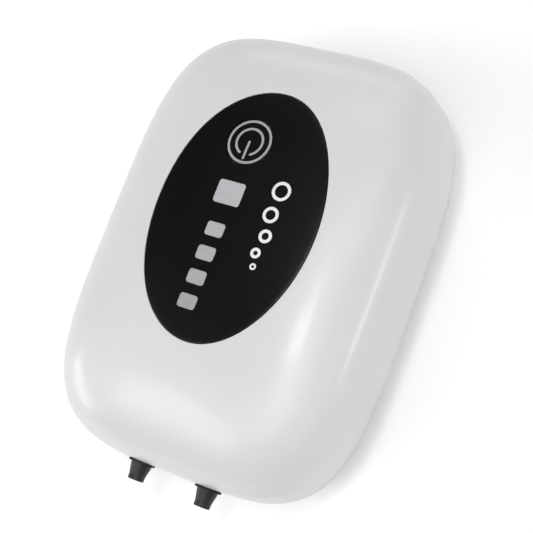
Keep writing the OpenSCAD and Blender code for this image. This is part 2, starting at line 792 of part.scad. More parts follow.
module diaphragm(side) color([0.12, 0.12, 0.12]) in_case() on_side(side)
    translate([0, head_y, mech_z]) rotate([0, 90, 0]) rotate_extrude()
        polygon([[hub_stem_r, hub_x[0]], [hub_r, hub_x[0]], [hub_r, diaphragm_x[0]],
            [diaphragm_r[0], diaphragm_x[0]], [diaphragm_r[0], diaphragm_x[1]],
            [diaphragm_r[1], diaphragm_x[1]], [diaphragm_r[1], box_x[0]],
            [chamber_r, box_x[0]], [chamber_r, hub_x[1]], [hub_stem_r, hub_x[1]]]);
module left_diaphragm() diaphragm(-1);
module right_diaphragm() diaphragm(1);

module valve_body(side) color([0.7, 0.7, 0.72]) in_case() on_side(side) difference() {
    block([box_x[0], box_x[1]], box_y, [plate_top, mech_z + box_half_h]);
    rod_x([box_x[0] - over, box_x[0] + chamber_depth], head_y, mech_z, chamber_r);
    for (y = port_y) rod_x([box_x[0], box_x[1] + over], y, mech_z, port_r);
    for (y = valve_screw_y) for (z = valve_screw_z)
        rod_x([box_x[0] + valve_wall, box_x[1] + over], y, z, valve_screw_r);
}
module left_valve_body() valve_body(-1);
module right_valve_body() valve_body(1);

module valve_flaps(side) color([0.75, 0.3, 0.1]) in_case() on_side(side)
    for (y = port_y) rod_x([box_x[1], box_x[1] + flap_t], y, mech_z, flap_r);
module left_valve_flaps() valve_flaps(-1);
module right_valve_flaps() valve_flaps(1);

module valve_cover(side) color([0.55, 0.55, 0.58]) in_case() on_side(side) difference() {
    union() {
        block([box_x[1], box_x[2]], box_y, [plate_top, mech_z + box_half_h]);
        rod_y(barb_x, [hose_start_y + 0.5, box_y[0]], mech_z, barb_r);
    }
    for (y = [[valve_chamber_y[0], head_y - valve_rib], [head_y + valve_rib, valve_chamber_y[1]]])
        block([box_x[1] - over, box_x[2] - valve_wall], y,
            [mech_z - valve_chamber_half_h, mech_z + valve_chamber_half_h]);
    rod_y(barb_x, [hose_start_y, barb_bore_end], mech_z, barb_bore_r);
    rod_x([box_x[1] + over, box_x[2] + over], valve_inlet_y, mech_z, valve_inlet_r);
    for (y = valve_screw_y) for (z = valve_screw_z)
        rod_x([box_x[1] - over, box_x[2] + over], y, z, valve_screw_r);
}
module left_valve_cover() valve_cover(-1);
module right_valve_cover() valve_cover(1);

module valve_screws() color([0.7, 0.7, 0.72]) in_case() for (s = [-1, 1]) on_side(s)
    for (y = valve_screw_y) for (z = valve_screw_z) {
        rod_x([box_x[2], box_x[2] + valve_head_h], y, z, valve_head_r);
        rod_x([box_x[0] + 2 * valve_wall, box_x[2]], y, z, valve_screw_r);
    }

// Moulded hose: two equal arcs carry the air from the valve box to the outlet.
hose_across = barb_x - outlet_x;
hose_along = hose_start_y - hose_end_y;
hose_turn = 2 * atan(hose_across / hose_along);
hose_bend_r = hose_along / (2 * sin(hose_turn));

function hose_path() = concat([[barb_x, hose_start_y + 3, mech_z]],
    [for (i = [0:hose_steps]) let (t = hose_turn * i / hose_steps)
        [barb_x - hose_bend_r * (1 - cos(t)), hose_start_y - hose_bend_r * sin(t), mech_z]],
    [for (i = [hose_steps - 1:-1:0]) let (t = hose_turn * i / hose_steps)
        [outlet_x + hose_bend_r * (1 - cos(t)), hose_end_y + hose_bend_r * sin(t), mech_z]],
    [[outlet_x, hose_end_y - 3, mech_z]]);

module hose(side) color([0.8, 0.82, 0.84]) in_case() on_side(side)
    path_tube(hose_path(), hose_r, hose_r - hose_wall, hose_sides, [0, 0, 1]);
module left_hose() hose(-1);
module right_hose() hose(1);

// Outlet: hose barb inside, flange behind the wall and a tapered nose that stands
// out through a rubber grommet in the wall.
module nozzle(side) color([0.2, 0.2, 0.21]) in_case() on_side(side)
    translate([outlet_x, 0, mech_z]) rotate([90, 0, 0]) rotate_extrude() {
        tip = half_l + outlet_out;
        front = half_l - wall - outlet_flange_gap;
        back = front - outlet_flange_t;
        end = -hose_end_y + 0.4;
        polygon([[outlet_bore_r, end], [barb_r, end], [barb_r, back], [outlet_flange_r, back],
            [outlet_flange_r, front], [outlet_root_r, front], [outlet_root_r, half_l],
            [outlet_d / 2, tip - outlet_land], [outlet_d / 2, tip], [outlet_bore_r, tip]]);
    }
module left_nozzle() nozzle(-1);
module right_nozzle() nozzle(1);

// Rubber sleeves round the outlets, with a collar outside the wall.
module outlet_grommets() color([0.06, 0.06, 0.06]) in_case() for (s = [-1, 1])
    translate([s * outlet_x, 0, mech_z]) rotate([90, 0, 0]) rotate_extrude() {
        sleeve_r = outlet_hole_r - grommet_gap;
        polygon([[grommet_bore_r, half_l - wall], [sleeve_r, half_l - wall], [sleeve_r, half_l],
            [grommet_r, half_l], [grommet_r, half_l + grommet_out],
            [grommet_bore_r, half_l + grommet_out]]);
    }

module case_screws() color([0.65, 0.65, 0.67]) in_case() for (p = screw_holes) difference() {
    union() {
        post(p, screw_head_r, screw_seat_z - screw_head_t, screw_seat_z);
        post(p, screw_r, screw_seat_z, screw_top_z - screw_end_gap);
    }
    for (turn = [0, 90]) translate([p[0], p[1], screw_seat_z - screw_head_t])
        rotate([0, 0, turn]) cube(screw_cross, center = true);
}

module rubber_feet() color([0.12, 0.12, 0.12]) in_case() for (x = [-1, 1]) for (y = [-1, 1])
    post([x * foot_pos[0], y * foot_pos[1]], foot_r, 0, foot_h);

front_shell();
rear_shell();
display_panel();
power_key();
tact_plunger();
tact_switch();
status_window();
level_windows();
light_shield();
status_leds();
main_board();
board_screws();
controller_chip();
driver_transistors();
storage_capacitor();
coil_connector();
coil_leads();
battery_cell();
battery_holder();
battery_tabs();
battery_leads();
charge_board();
usb_shell();
usb_tongue();
charge_leads();
dust_plug();
filter_cover();
intake_filter();
pump_chassis();
chassis_dampers();
chassis_screws();
iron_core();
core_screws();
coil_bobbin();
coil_winding();
left_arm();
right_arm();
left_magnets();
right_magnets();
left_pivot_bush();
right_pivot_bush();
left_hub();
right_hub();
left_diaphragm();
right_diaphragm();
left_valve_body();
right_valve_body();
left_valve_flaps();
right_valve_flaps();
left_valve_cover();
right_valve_cover();
valve_screws();
left_hose();
right_hose();
left_nozzle();
right_nozzle();
outlet_grommets();
case_screws();
rubber_feet();
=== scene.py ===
import json
import math

import bmesh
import bpy
import numpy as np
from mathutils import Matrix, Vector


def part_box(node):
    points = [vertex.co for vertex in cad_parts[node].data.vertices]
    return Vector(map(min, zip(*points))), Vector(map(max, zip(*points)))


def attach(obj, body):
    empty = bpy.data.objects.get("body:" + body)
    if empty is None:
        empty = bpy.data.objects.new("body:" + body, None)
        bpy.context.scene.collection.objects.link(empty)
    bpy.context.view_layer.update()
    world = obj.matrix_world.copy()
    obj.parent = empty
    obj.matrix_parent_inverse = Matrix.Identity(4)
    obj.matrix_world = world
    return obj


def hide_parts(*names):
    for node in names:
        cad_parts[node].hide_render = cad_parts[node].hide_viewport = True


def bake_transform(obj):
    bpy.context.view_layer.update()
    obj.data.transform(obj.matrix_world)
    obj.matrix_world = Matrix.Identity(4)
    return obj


# Battery aquarium air pump. Lengths are in metres; MM turns millimetres into metres.
MM = 0.001
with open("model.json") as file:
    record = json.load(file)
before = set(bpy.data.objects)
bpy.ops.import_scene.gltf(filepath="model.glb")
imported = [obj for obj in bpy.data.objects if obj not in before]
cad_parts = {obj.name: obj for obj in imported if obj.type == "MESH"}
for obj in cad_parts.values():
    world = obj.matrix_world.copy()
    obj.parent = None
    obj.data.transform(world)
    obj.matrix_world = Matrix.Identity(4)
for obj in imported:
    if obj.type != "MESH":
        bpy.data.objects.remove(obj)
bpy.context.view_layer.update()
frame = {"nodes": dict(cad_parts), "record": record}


# ---------------------------------------------------------------- sizes from the frame
def middle(node):
    lo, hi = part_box(node)
    return (lo + hi) / 2


def half_size(node):
    lo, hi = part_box(node)
    return (hi - lo) / 2


FRONT_LO, FRONT_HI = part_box("front_shell")
HALF_W, HALF_L = half_size("front_shell").x, half_size("front_shell").y
CASE_Y = middle("front_shell").y
SEAM_Z = FRONT_LO.z
BELT_Z = SEAM_Z + 6 * MM
BASE_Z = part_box("filter_cover")[0].z
CREST_Z = 40.8 * MM
CROWN_H = CREST_Z - BELT_Z
DISH_H = 14.2 * MM
WALL = 2.4 * MM
OUTLINE_POWER, CROWN_POWER, DISH_POWER = 4, 3, 2.2
PANEL_A, PANEL_B = half_size("display_panel").x, half_size("display_panel").y
PANEL_Y = middle("display_panel").y
PANEL_T = 1.4 * MM
KEY_R = 6.2 * MM
KEY_STEM_R = 1.5 * MM
KEY = middle("power_key")
SEGMENTS = 256
CORNER_STEPS = 10
MERGE = 1e-7


# ---------------------------------------------------------------- surfaces of the case
def reach(x, y, a, b):
    """1 on the case outline with half width a and half length b, less inside it."""
    total = (np.abs(x) / a) ** OUTLINE_POWER + (np.abs(y - CASE_Y) / b) ** OUTLINE_POWER
    return total ** (1 / OUTLINE_POWER)


def crown_z(x, y, inset=0.0):
    """Height of the domed front at (x, y)."""
    inside = 1 - reach(x, y, HALF_W - inset, HALF_L - inset) ** CROWN_POWER
    return BELT_Z + (CROWN_H - inset) * np.clip(inside, 0, 1) ** (1 / CROWN_POWER)


def dish_z(x, y, inset=0.0):
    """Height of the rear dish at (x, y), blended softly into its flat base."""
    inside = 1 - reach(x, y, HALF_W - inset, HALF_L - inset) ** DISH_POWER
    z = SEAM_Z - (DISH_H - inset) * np.clip(inside, 0, 1) ** (1 / DISH_POWER)
    blend = 0.25 * MM
    over = z - BASE_Z - inset
    return BASE_Z + inset + (over + np.sqrt(over ** 2 + blend ** 2)) / 2


def turns(count=SEGMENTS):
    return np.arange(count) * 2 * math.pi / count


def outline(a, b):
    """Points on the case outline, as an (N, 2) array."""
    t = turns()
    c, s = np.cos(t), np.sin(t)
    r = (np.abs(c) ** OUTLINE_POWER + np.abs(s) ** OUTLINE_POWER) ** (-1 / OUTLINE_POWER)
    return np.stack([a * r * c, CASE_Y + b * r * s], axis=1)


def oval(grow=0.0, scale=1.0):
    """Points on the display's outline, grown outwards and then scaled about its middle."""
    t = turns()
    return np.stack([scale * (PANEL_A + grow) * np.cos(t),
                     PANEL_Y + scale * (PANEL_B + grow) * np.sin(t)], axis=1)


def circle(centre, radius, count=96):
    t = turns(count)
    return np.stack([centre[0] + radius * np.cos(t), centre[1] + radius * np.sin(t)], axis=1)


def rounded_rect(width, height, corner):
    """Outline of a rounded rectangle round (0, 0); a slot if corner is half the height."""
    points = []
    for turn, (sx, sy) in enumerate(((1, 1), (-1, 1), (-1, -1), (1, -1))):
        centre = np.array([sx * (width / 2 - corner), sy * (height / 2 - corner)])
        for k in range(CORNER_STEPS + 1):
            angle = math.pi / 2 * (turn + k / CORNER_STEPS)
            points.append(centre + corner * np.array([math.cos(angle), math.sin(angle)]))
    return np.array(points)


def ring(points, z):
    """(N, 3) from flat points and a height or heights."""
    z = np.broadcast_to(z, (len(points),))
    return np.column_stack([points, z])


# ---------------------------------------------------------------- mesh tools
FILLET_STEPS = 5
NEARLY_STRAIGHT = 1.55


def add_piece(name, mesh):
    piece = bpy.data.objects.new(name, mesh)
    bpy.context.scene.collection.objects.link(piece)
    return piece


def clean(mesh, sharp=32):
    """Merges doubled points, turns the faces outwards and shades the mesh smooth, apart from
    edges that turn by more than sharp degrees."""
    bm = bmesh.new()
    bm.from_mesh(mesh)
    bmesh.ops.remove_doubles(bm, verts=bm.verts, dist=MERGE)
    bmesh.ops.dissolve_degenerate(bm, edges=bm.edges, dist=MERGE)
    wires = [e for e in bm.edges if not e.link_faces]
    bmesh.ops.delete(bm, geom=wires, context="EDGES")
    bmesh.ops.recalc_face_normals(bm, faces=bm.faces)
    bm.to_mesh(mesh)
    bm.free()
    mesh.shade_smooth()
    mesh.set_sharp_from_angle(angle=math.radians(sharp))


def loft(name, rings, looped=False, sharp=32):
    """A closed mesh through rings of points, capped at both ends or looped round."""
    rings = [np.asarray(r) for r in rings]
    count = len(rings[0])
    verts = [tuple(p) for r in rings for p in r]
    faces = []
    spans = len(rings) if looped else len(rings) - 1
    for j in range(spans):
        a, b = j * count, (j + 1) % len(rings) * count
        for i in range(count):
            k = (i + 1) % count
            faces.append((a + i, a + k, b + k, b + i))
    if not looped:
        for start, r in ((0, rings[0]), ((len(rings) - 1) * count, rings[-1])):
            centre = len(verts)
            verts.append(tuple(r.mean(axis=0)))
            faces.extend((start + i, start + (i + 1) % count, centre) for i in range(count))
    mesh = bpy.data.meshes.new(name)
    mesh.from_pydata(verts, [], faces)
    clean(mesh, sharp)
    return add_piece(name, mesh)


def fillet(corner_in, corner, corner_out, radius):
    """Points of an arc that rounds one corner of a profile."""
    p, q, r = (np.array(v, float) for v in (corner_in, corner, corner_out))
    u, v = (p - q) / np.linalg.norm(p - q), (r - q) / np.linalg.norm(r - q)
    half = math.acos(max(-1, min(1, float(u @ v)))) / 2
    if radius <= 0 or half > NEARLY_STRAIGHT:
        return [q]
    back = radius / math.tan(half)
    centre = q + (u + v) / np.linalg.norm(u + v) * radius / math.sin(half)
    start, end = q + u * back - centre, q + v * back - centre
    sweep = math.acos(max(-1, min(1, float(start @ end) / radius ** 2)))
    arc = []
    for k in range(FILLET_STEPS + 1):
        f = k / FILLET_STEPS
        arc.append(centre + (math.sin((1 - f) * sweep) * start + math.sin(f * sweep) * end)
                   / math.sin(sweep))
    return arc


def rounded(profile):
    """A closed profile of (r, h, corner radius) with its corners rounded."""
    out = []
    for i, (r, h, radius) in enumerate(profile):
        before, after = profile[i - 1], profile[(i + 1) % len(profile)]
        out.extend(fillet(before[:2], (r, h), after[:2], radius))
    return out


def lathe(name, profile, origin, axis, count=96):
    """A closed profile of (radius, height, corner radius) turned round an axis."""
    points = rounded(profile)
    t = turns(count)
    turn = Vector((0, 0, 1)).rotation_difference(Vector(axis)).to_matrix()
    rings = []
    for r, h in points:
        flat = np.column_stack([max(r, 0) * np.cos(t), max(r, 0) * np.sin(t), np.full(count, h)])
        rings.append(flat @ np.array(turn).T + np.array(origin))
    return loft(name, rings, looped=True)


def freeze(piece):
    """Applies a piece's modifiers to its mesh."""
    graph = bpy.context.evaluated_depsgraph_get()
    mesh = bpy.data.meshes.new_from_object(piece.evaluated_get(graph))
    old = piece.data
    piece.modifiers.clear()
    piece.data = mesh
    mesh.name = piece.name
    bpy.data.meshes.remove(old)


def carve(piece, tools, operation="DIFFERENCE"):
    """Cuts the tools from a piece, or joins them to it, and removes the tools.
    The boolean runs on meshes in millimetres, where its tolerances are small."""
    for part in (piece, *tools):
        part.data.transform(Matrix.Scale(1 / MM, 4))
    for tool in tools:
        step = piece.modifiers.new("carve", "BOOLEAN")
        step.operation = operation
        step.solver = "EXACT"
        step.object = tool
    freeze(piece)
    piece.data.transform(Matrix.Scale(MM, 4))
    for tool in tools:
        mesh = tool.data
        bpy.data.objects.remove(tool)
        bpy.data.meshes.remove(mesh)
    clean(piece.data)


def prism(name, shape, low, high, edge=0.0, low_edge=0.0):
    """A bar from height low to high, its ends' edges rounded. The shape is flat outline
    points or, if an edge is rounded, a function that gives the outline grown by d."""
    grown = shape if callable(shape) else lambda d: shape
    steps = [k / FILLET_STEPS * math.pi / 2 for k in range(FILLET_STEPS + 1)]
    rings = []
    for a in steps if low_edge else []:
        rings.append(ring(grown(-low_edge * (1 - math.sin(a))), low + low_edge * (1 - math.cos(a))))
    if not low_edge:
        rings.append(ring(grown(0), low))
    if edge:
        rings.extend(ring(grown(-edge * (1 - math.cos(a))), high - edge * (1 - math.sin(a)))
                     for a in steps)
    else:
        rings.append(ring(grown(0), high))
    return loft(name, rings)


def along_y(piece, centre_x, centre_z):
    """Turns a bar that was built up +Z so that it points along +Y through (x, z)."""
    piece.data.transform(Matrix.Translation((centre_x, 0, centre_z))
                         @ Matrix.Rotation(math.radians(-90), 4, "X"))
    return piece


def spread(piece, places):
    """Joins a copy of the piece, moved by each place, into one mesh."""
    bm = bmesh.new()
    for place in places:
        part = piece.data.copy()
        part.transform(Matrix.Translation(place))
        bm.from_mesh(part)
        bpy.data.meshes.remove(part)
    bm.to_mesh(piece.data)
    bm.free()
    clean(piece.data)


def stands_for(piece, *nodes, slot, material, body="case"):
    """Rides the piece on its body, hides the CAD nodes and sets its material; the slot is not used.
    """
    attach(piece, body)
    if nodes:
        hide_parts(*nodes)
    piece.data.materials.clear()
    piece.data.materials.append(material)


# ---------------------------------------------------------------- materials
WORN_RADIUS = 0.35 * MM


def new_material(name, **settings):
    """A Principled material; returns it with its node tree, shader and coordinates."""
    mat = bpy.data.materials.new(name)
    mat.use_nodes = True
    tree = mat.node_tree
    shader = tree.nodes["Principled BSDF"]
    for socket, value in settings.items():
        shader.inputs[socket.replace("_", " ")].default_value = value
    place = tree.nodes.new("ShaderNodeTexCoord")
    return mat, tree, shader, place.outputs["Object"]


def noise(tree, place, scale, detail=3.0, rough=0.5, stretch=None):
    if stretch:
        mapping = tree.nodes.new("ShaderNodeMapping")
        mapping.inputs["Scale"].default_value = stretch
        tree.links.new(place, mapping.inputs["Vector"])
        place = mapping.outputs["Vector"]
    node = tree.nodes.new("ShaderNodeTexNoise")
    node.inputs["Scale"].default_value = scale
    node.inputs["Detail"].default_value = detail
    node.inputs["Roughness"].default_value = rough
    tree.links.new(place, node.inputs["Vector"])
    return node.outputs["Fac"]


def spread_value(tree, value, low, high, start=0.3, end=0.7):
    """Maps a value from start to end onto low to high."""
    node = tree.nodes.new("ShaderNodeMapRange")
    node.inputs["From Min"].default_value = start
    node.inputs["From Max"].default_value = end
    node.inputs["To Min"].default_value = low
    node.inputs["To Max"].default_value = high
    tree.links.new(value, node.inputs["Value"])
    return node.outputs["Result"]


def mix_colour(tree, value, first, second):
    node = tree.nodes.new("ShaderNodeMix")
    node.data_type = "RGBA"
    for socket, colour in ((node.inputs[6], first), (node.inputs[7], second)):
        if isinstance(colour, tuple):
            socket.default_value = (*colour, 1)
        else:
            tree.links.new(colour, socket)
    tree.links.new(value, node.inputs[0])
    return node.outputs[2]


def bump(tree, shader, height, distance):
    node = tree.nodes.new("ShaderNodeBump")
    node.inputs["Strength"].default_value = 1
    node.inputs["Distance"].default_value = distance
    tree.links.new(height, node.inputs["Height"])
    tree.links.new(node.outputs["Normal"], shader.inputs["Normal"])


def edge_mask(tree):
    """1 on edges sharper than the worn radius, 0 on flat and gently curved surfaces."""
    bevel = tree.nodes.new("ShaderNodeBevel")
    bevel.samples = 4
    bevel.inputs["Radius"].default_value = WORN_RADIUS
    true = tree.nodes.new("ShaderNodeNewGeometry")
    dot = tree.nodes.new("ShaderNodeVectorMath")
    dot.operation = "DOT_PRODUCT"
    tree.links.new(bevel.outputs["Normal"], dot.inputs[0])
    tree.links.new(true.outputs["Normal"], dot.inputs[1])
    return spread_value(tree, dot.outputs["Value"], 1, 0, 0.8, 0.98)


def plastic(name, colour, rough, shift=0.04, rough_shift=0.05, peel=0.004 * MM, peel_scale=900,
            wear=0.1, **settings):
    """Moulded plastic: faint cloudiness, uneven gloss, fine peel and paler worn edges."""
    mat, tree, shader, place = new_material(name, **settings)
    cloud = noise(tree, place, 55, detail=4)
    dark = tuple(c * (1 - shift) for c in colour)
    base = mix_colour(tree, spread_value(tree, cloud, 0, 1), dark, colour)
    if wear:
        pale = tuple(c + (1 - c) * wear for c in colour)
        base = mix_colour(tree, edge_mask(tree), base, pale)
    tree.links.new(base, shader.inputs["Base Color"])
    smear = noise(tree, place, 140, detail=5, rough=0.6)
    tree.links.new(spread_value(tree, smear, rough - rough_shift, rough + rough_shift),
                   shader.inputs["Roughness"])
    bump(tree, shader, noise(tree, place, peel_scale, detail=2), peel)
    return mat


def rubber(name, colour, rough=0.62):
    """Soft rubber: matte, finely grained, with pale scuffs."""
    mat, tree, shader, place = new_material(name, Specular_IOR_Level=0.35)
    scuff = spread_value(tree, noise(tree, place, 500, detail=6, rough=0.7), 0, 0.5, 0.55, 0.75)
    pale = tuple(c + (1 - c) * 0.05 for c in colour)
    tree.links.new(mix_colour(tree, scuff, colour, pale), shader.inputs["Base Color"])
    tree.links.new(spread_value(tree, noise(tree, place, 300), rough - 0.08, rough + 0.08),
                   shader.inputs["Roughness"])
    bump(tree, shader, noise(tree, place, 4000, detail=3), 0.01 * MM)
    return mat


def metal(name, colour, rough=0.3, brushed=(1, 0.08, 1)):
    """Metal with fine tool marks along one direction and uneven gloss."""
    mat, tree, shader, place = new_material(name, Metallic=1.0)
    marks = noise(tree, place, 1400, detail=4, stretch=brushed)
    dark = tuple(c * 0.82 for c in colour)
    tree.links.new(mix_colour(tree, spread_value(tree, marks, 0, 1), dark, colour),
                   shader.inputs["Base Color"])
    tree.links.new(spread_value(tree, marks, rough - 0.07, rough + 0.1),
                   shader.inputs["Roughness"])
    bump(tree, shader, marks, 0.006 * MM)
    return mat


def window_plastic(name):
    """Light-guide plastic with painted shade: its grey darkens towards the outlet end."""
    mat, tree, shader, place = new_material(name, Specular_IOR_Level=0.4)
    split = tree.nodes.new("ShaderNodeSeparateXYZ")
    tree.links.new(place, split.inputs["Vector"])
    # painted shade: the windows' grey runs lighter towards the port end and darker towards the
    # outlet end
    rise = spread_value(tree, split.outputs["Y"], 0, 1, CASE_Y - 20 * MM, CASE_Y + 12 * MM)
    shaded_tone = mix_colour(tree, rise, (0.33, 0.33, 0.34), (0.47, 0.47, 0.49))
    mottle = spread_value(tree, noise(tree, place, 700, detail=4), 0, 0.25)
    tree.links.new(mix_colour(tree, mottle, shaded_tone, (0.54, 0.54, 0.55)), shader.inputs["Base Color"])
    tree.links.new(spread_value(tree, noise(tree, place, 260), 0.38, 0.5),
                   shader.inputs["Roughness"])
    bump(tree, shader, noise(tree, place, 1500, detail=2), 0.004 * MM)
    return mat


def felt(name):
    """Matted grey fibres."""
    mat, tree, shader, place = new_material(name, Roughness=0.95, Sheen_Weight=0.4)
    fibre = noise(tree, place, 2600, detail=6, rough=0.75)
    tree.links.new(mix_colour(tree, fibre, (0.05, 0.05, 0.05), (0.22, 0.22, 0.22)),
                   shader.inputs["Base Color"])
    bump(tree, shader, fibre, 0.08 * MM)
    return mat


def winding(name):
    """Enamelled copper wire, wound in fine turns across X."""
    mat, tree, shader, place = new_material(name, Metallic=1.0)
    wave = tree.nodes.new("ShaderNodeTexWave")
    wave.bands_direction = "X"
    wave.inputs["Scale"].default_value = 700
    wave.inputs["Distortion"].default_value = 0.6
    tree.links.new(place, wave.inputs["Vector"])
    turn = wave.outputs["Fac"]
    tree.links.new(mix_colour(tree, turn, (0.3, 0.09, 0.03), (0.62, 0.26, 0.1)),
                   shader.inputs["Base Color"])
    tree.links.new(spread_value(tree, turn, 0.22, 0.4, 0, 1), shader.inputs["Roughness"])
    bump(tree, shader, turn, 0.05 * MM)
    return mat


WHITE = plastic("case_white", (0.70, 0.70, 0.715), 0.34, shift=0.02, Specular_IOR_Level=0.5,
                Coat_Weight=0.15, Coat_Roughness=0.12)
REAR = plastic("rear_white", (0.66, 0.66, 0.675), 0.46, peel=0.012 * MM, peel_scale=1500)
BLACK = plastic("display_black", (0.0035, 0.0035, 0.0038), 0.28, shift=0.15, rough_shift=0.012,
                peel=0.002 * MM, wear=0, Specular_IOR_Level=0.28)
CHARCOAL = plastic("outlet_charcoal", (0.019, 0.019, 0.0203), 0.42, shift=0.12,
                   peel=0.008 * MM, peel_scale=1600, wear=0.04, Specular_IOR_Level=0.35)
INK_GREY = plastic("ink_grey", (0.38, 0.38, 0.39), 0.5, peel=0.003 * MM, peel_scale=3000, wear=0)
INK_WHITE = plastic("ink_white", (0.82, 0.82, 0.83), 0.5, peel=0.003 * MM, peel_scale=3000, wear=0)
WINDOW = window_plastic("light_window")
RUBBER = rubber("rubber_black", (0.012, 0.012, 0.0125))
SILICONE = rubber("silicone_grey", (0.36, 0.36, 0.375), rough=0.5)
STEEL = metal("screw_steel", (0.58, 0.58, 0.6), 0.3)
NICKEL = metal("nickel", (0.68, 0.67, 0.65), 0.18)
PORT = metal("port_steel", (0.62, 0.62, 0.64), 0.26, brushed=(0.1, 1, 1))
IRON = metal("core_iron", (0.25, 0.25, 0.27), 0.45, brushed=(1, 1, 0.05))
BRASS = metal("hub_brass", (0.6, 0.42, 0.16), 0.3)
COPPER = winding("coil_copper")
FELT = felt("intake_felt")

SLOT_MATERIALS = {
    "case_white": WHITE,
    "rear_white": REAR,
    "display_black": BLACK,
    "window_grey": WINDOW,
    "outlet_grey": CHARCOAL,
    "rubber_black": RUBBER,
    "silicone_grey": SILICONE,
    "board_green": plastic("board_green", (0.015, 0.12, 0.05), 0.35, shift=0.3),
    "chip_black": plastic("chip_black", (0.018, 0.018, 0.019), 0.5, shift=0.2),
    "screw_steel": STEEL,
    "port_steel": PORT,
    "core_iron": IRON,
    "magnet_nickel": NICKEL,
    "coil_copper": COPPER,
    "hub_brass": BRASS,
    "chassis_grey": plastic("chassis_grey", (0.06, 0.06, 0.065), 0.5, shift=0.15),
    "arm_white": plastic("arm_white", (0.68, 0.68, 0.69), 0.45),
    "bobbin_cream": plastic("bobbin_cream", (0.7, 0.66, 0.52), 0.45, shift=0.08),
    "valve_grey": plastic("valve_grey", (0.36, 0.36, 0.39), 0.42, shift=0.08),
    "flap_orange": rubber("flap_orange", (0.5, 0.12, 0.03)),
    "cell_blue": plastic("cell_blue", (0.03, 0.1, 0.3), 0.25, shift=0.12),
    "wire_red": rubber("wire_red", (0.45, 0.02, 0.02), rough=0.45),
    "wire_black": rubber("wire_black", (0.015, 0.015, 0.015), rough=0.45),
    "felt_grey": FELT,
    "led_cream": plastic("led_cream", (0.8, 0.74, 0.5), 0.2),
    "capacitor_blue": plastic("capacitor_blue", (0.03, 0.05, 0.2), 0.3),
}


def dress_cad_nodes():
    """Gives every CAD node that stays the material of its slot."""
    slots = {s["node"]: s["material_slot"] for s in frame["record"]["subparts"]}
    for name, node in frame["nodes"].items():
        node.data.materials.clear()
        node.data.materials.append(SLOT_MATERIALS[slots[name]])


# ---------------------------------------------------------------- front shell
PANEL_GAP = 0.1 * MM
RIM_ROUND = 0.15 * MM
SEAM_ROUND = 0.45 * MM
OUTLET_HOLE_R = 3.35 * MM
ARC = [k / 6 * math.pi / 2 for k in range(7)]


def crown_rings(start, count, inset=0.0):
    """Rings on the dome from the panel's rim out to the widest line."""
    inner = oval(grow=start)
    outer = outline(HALF_W - inset, HALF_L - inset)
    rings = []
    for k in range(count + 1):
        p = inner + (outer - inner) * math.sin(k / count * math.pi / 2)
        z = crown_z(p[:, 0], p[:, 1], inset) if k < count else BELT_Z
        rings.append(ring(p, z))
    return rings


def front_shell():
    pocket = PANEL_GAP
    rings = []
    for scale in (0.02, 0.5, 1):
        p = oval(grow=pocket * scale, scale=scale)
        rings.append(ring(p, crown_z(p[:, 0], p[:, 1]) - PANEL_T))
    for a in ARC:
        p = oval(grow=pocket + RIM_ROUND * (1 - math.cos(a)))
        rings.append(ring(p, crown_z(p[:, 0], p[:, 1]) - RIM_ROUND * (1 - math.sin(a))))
    rings += crown_rings(pocket + RIM_ROUND, 56)[1:]
    for a in ARC:
        inset = SEAM_ROUND * (1 - math.cos(a))
        rings.append(ring(outline(HALF_W - inset, HALF_L - inset),
                          SEAM_Z + SEAM_ROUND * (1 - math.sin(a))))
    rings.append(ring(outline(HALF_W - WALL, HALF_L - WALL), SEAM_Z))
    rings += crown_rings(0, 14, WALL)[::-1]
    for scale in (0.5, 0.02):
        p = oval(scale=scale)
        rings.append(ring(p, crown_z(p[:, 0], p[:, 1], WALL)))
    shell = loft("front_shell_skin", rings)
    tools = [outlet_cutter(node) for node in ("left_nozzle", "right_nozzle")]
    tools += port_cutters()
    carve(shell, tools)
    stands_for(shell, "front_shell", slot="case_white", material=WHITE)


def outlet_cutter(node):
    """A round hole through the wall whose mouth is slightly rounded."""
    centre = middle(node)
    mouth = FRONT_LO.y
    flare = 0.35 * MM
    profile = [(0, 0, 0), (OUTLET_HOLE_R + flare, 0, 0)]
    profile += [(OUTLET_HOLE_R + flare * (1 - math.sin(a)), 1 * MM + flare * (1 - math.cos(a)), 0)
                for a in ARC]
    profile += [(OUTLET_HOLE_R, 5 * MM, 0), (0, 5 * MM, 0)]
    return lathe("outlet_cut", profile, (centre.x, mouth - 1 * MM, centre.z), (0, 1, 0))


PORT_MID = middle("usb_shell")
CAP_HALF = half_size("dust_plug")
CAP_DEPTH = 1.5 * MM
CAP_GAP = 0.12 * MM
PORT_GAP = 0.2 * MM
SLOT_FLAT = 0.001 * MM


def slot_shape(half_w, half_h):
    """A function that gives a slot outline grown by d."""
    return lambda d: rounded_rect(2 * (half_w + d), 2 * (half_h + d), half_h + d - SLOT_FLAT)


def port_cutters():
    """The plug's recess with a rounded mouth, and the socket's hole through the wall."""
    mouth = FRONT_HI.y
    shape = slot_shape(CAP_HALF.x + CAP_GAP, CAP_HALF.z + CAP_GAP)
    flare = 0.3 * MM
    rings = [ring(shape(0), mouth - CAP_DEPTH)]
    rings += [ring(shape(flare * (1 - math.cos(a))), mouth - flare * (1 - math.sin(a)))
              for a in ARC]
    rings.append(ring(shape(flare), mouth + 1 * MM))
    recess = along_y(loft("recess_cut", rings), 0, PORT_MID.z)
    usb = half_size("usb_shell")
    hole_shape = slot_shape(usb.x + PORT_GAP, usb.z + PORT_GAP)
    hole = prism("port_cut", hole_shape, mouth - 4 * MM, mouth - 1 * MM)
    return [recess, along_y(hole, 0, PORT_MID.z)]


# ---------------------------------------------------------------- display
KEY_GAP = 0.12 * MM
WINDOW_GAP = 0.05 * MM
WINDOW_CORNER = 0.8 * MM
PANEL_SINK = 0.02 * MM
LEVEL_COUNT = 4
LEVEL_H = 3.6 * MM


def shifted(points, centre):
    return points + np.array([centre[0], centre[1]])


